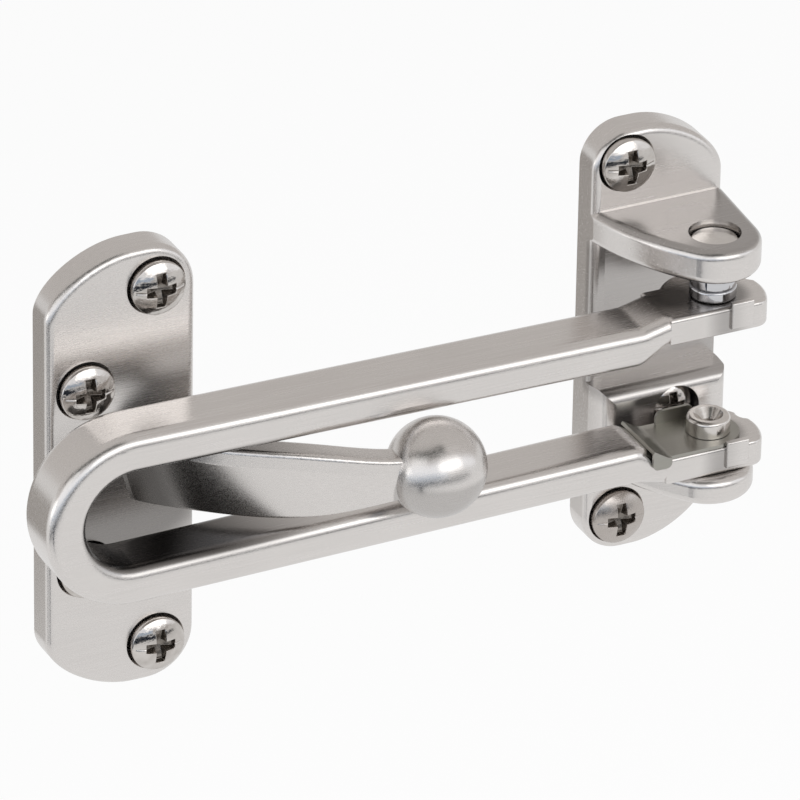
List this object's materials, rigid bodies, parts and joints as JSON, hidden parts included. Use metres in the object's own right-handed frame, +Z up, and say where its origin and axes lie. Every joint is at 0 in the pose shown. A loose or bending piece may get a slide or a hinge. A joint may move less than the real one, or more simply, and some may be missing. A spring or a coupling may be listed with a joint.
{
  "type": "swing bar door guard",
  "caption": "Door guard with a U-shaped swing bar hinged on a screwed bracket, closed over a ball on a curved arm from a screwed plate, so the door opens only a little.",
  "frame": {"origin": "centre of the hinge bracket's back face, which lies on the door frame", "axes": "+Y into the wall, so the fronts face -Y; +Z up along the hinge axis; the bar runs along X, its closed end and the ball plate towards -X"},
  "size_m": [0.1161, 0.036, 0.074],
  "materials": {
    "satin_casting": "satin brushed nickel plate on a zinc casting",
    "rivet_steel": "nickel plated steel",
    "polished_steel": "polished",
    "spring_sheet": "dull spring steel sheet",
    "polished_screw": "polished nickel plate"
  },
  "bodies": {
    "bracket": {"hinge_bracket": "satin_casting", "upper_rivet": "rivet_steel", "lower_rivet": "rivet_steel", "upper_washer_a": "polished_steel", "upper_washer_b": "polished_steel", "bracket_screw_top": "polished_screw", "bracket_screw_middle": "polished_screw", "bracket_screw_bottom": "polished_screw"},
    "bar": {"swing_bar": "satin_casting", "spring_clip": "spring_sheet"},
    "door_plate": {"ball_plate": "satin_casting", "ball_screw_top": "polished_screw", "ball_screw_upper": "polished_screw", "ball_screw_lower": "polished_screw", "ball_screw_bottom": "polished_screw"}
  },
  "joints": [
    {"name": "ball_plate_travel", "type": "slide", "parent": "bracket", "child": "door_plate", "axis": [0, -1, 0], "range_m": [0, 0.055]},
    {"name": "swing_bar_pivot", "type": "hinge", "parent": "bracket", "child": "bar", "pos_m": [0.0028, -0.0173, 0], "axis": [0, 0, 1], "range_deg": [0, 170]}
  ],
  "couplings": [
    {"joint": "swing_bar_pivot", "follows": "ball_plate_travel", "rad_per_m": 14.6}
  ]
}
